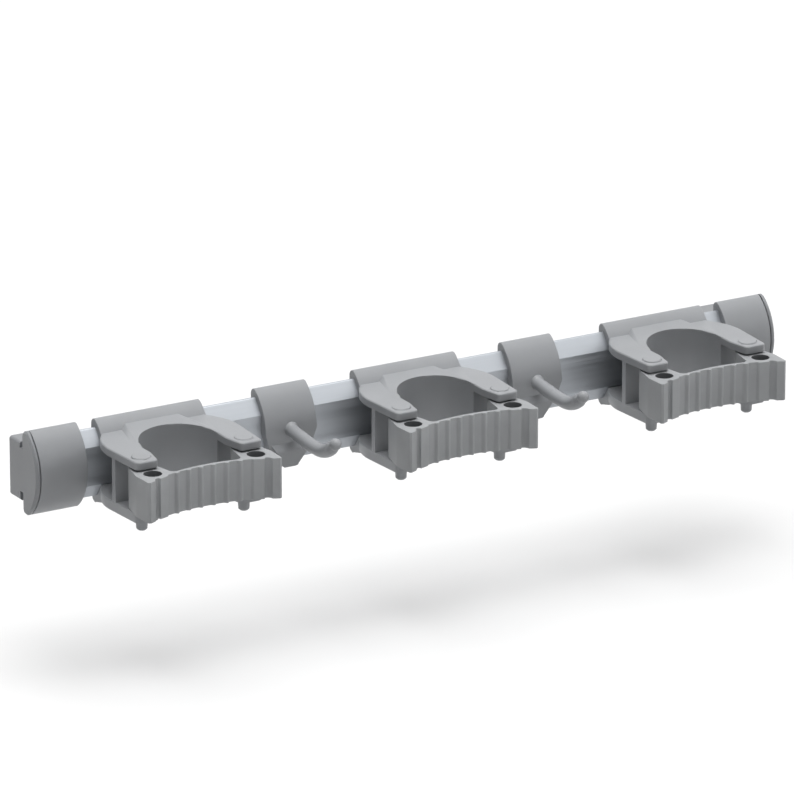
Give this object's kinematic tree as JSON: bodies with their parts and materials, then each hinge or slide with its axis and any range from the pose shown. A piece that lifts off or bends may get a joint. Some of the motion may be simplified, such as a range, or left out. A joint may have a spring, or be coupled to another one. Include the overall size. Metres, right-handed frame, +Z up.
{
  "type": "wall mop holder rack",
  "caption": "Wall rack for mops and brooms: an aluminium rail with clip-on handle holders, each closed by a ribbed rubber strap, upturned peg hooks and moulded end covers.",
  "frame": {"origin": "on the wall plane, midway between the two wall screw holes", "axes": "+X along the rail, to the right as seen from the front; -Y out of the wall towards the user; +Z up"},
  "size_m": [0.4226, 0.0869, 0.0428],
  "materials": {
    "aluminium": "anodised, satin",
    "grey_plastic": "moulded, semi-matt",
    "rubber_strap": "moulded, matt"
  },
  "bodies": {
    "rack": {"rail": "aluminium", "end_bracket_left": "grey_plastic", "end_bracket_right": "grey_plastic"},
    "cover_left": {"end_cover_left": "grey_plastic"},
    "cover_right": {"end_cover_right": "grey_plastic"},
    "tool_holder_left": {"holder_left": "grey_plastic", "strap_left": "rubber_strap", "strap_pin_left_a": "grey_plastic", "strap_pin_left_b": "grey_plastic"},
    "tool_holder_middle": {"holder_middle": "grey_plastic", "strap_middle": "rubber_strap", "strap_pin_middle_a": "grey_plastic", "strap_pin_middle_b": "grey_plastic"},
    "tool_holder_right": {"holder_right": "grey_plastic", "strap_right": "rubber_strap", "strap_pin_right_a": "grey_plastic", "strap_pin_right_b": "grey_plastic"},
    "peg_hook_left": {"hook_left": "grey_plastic"},
    "peg_hook_right": {"hook_right": "grey_plastic"}
  },
  "joints": [
    {"name": "end_cover_left_slide", "type": "slide", "parent": "rack", "child": "cover_left", "axis": [1, 0, 0], "range_m": [0, 0.003]},
    {"name": "holder_left_slide", "type": "slide", "parent": "rack", "child": "tool_holder_left", "axis": [1, 0, 0], "range_m": [-0.003, 0.013]},
    {"name": "hook_left_slide", "type": "slide", "parent": "rack", "child": "peg_hook_left", "axis": [1, 0, 0], "range_m": [-0.013, 0.0115]},
    {"name": "holder_middle_slide", "type": "slide", "parent": "rack", "child": "tool_holder_middle", "axis": [1, 0, 0], "range_m": [-0.0115, 0.0115]},
    {"name": "hook_right_slide", "type": "slide", "parent": "rack", "child": "peg_hook_right", "axis": [1, 0, 0], "range_m": [-0.0115, 0.013]},
    {"name": "holder_right_slide", "type": "slide", "parent": "rack", "child": "tool_holder_right", "axis": [1, 0, 0], "range_m": [-0.013, 0.003]},
    {"name": "end_cover_right_slide", "type": "slide", "parent": "rack", "child": "cover_right", "axis": [1, 0, 0], "range_m": [-0.003, 0]}
  ]
}
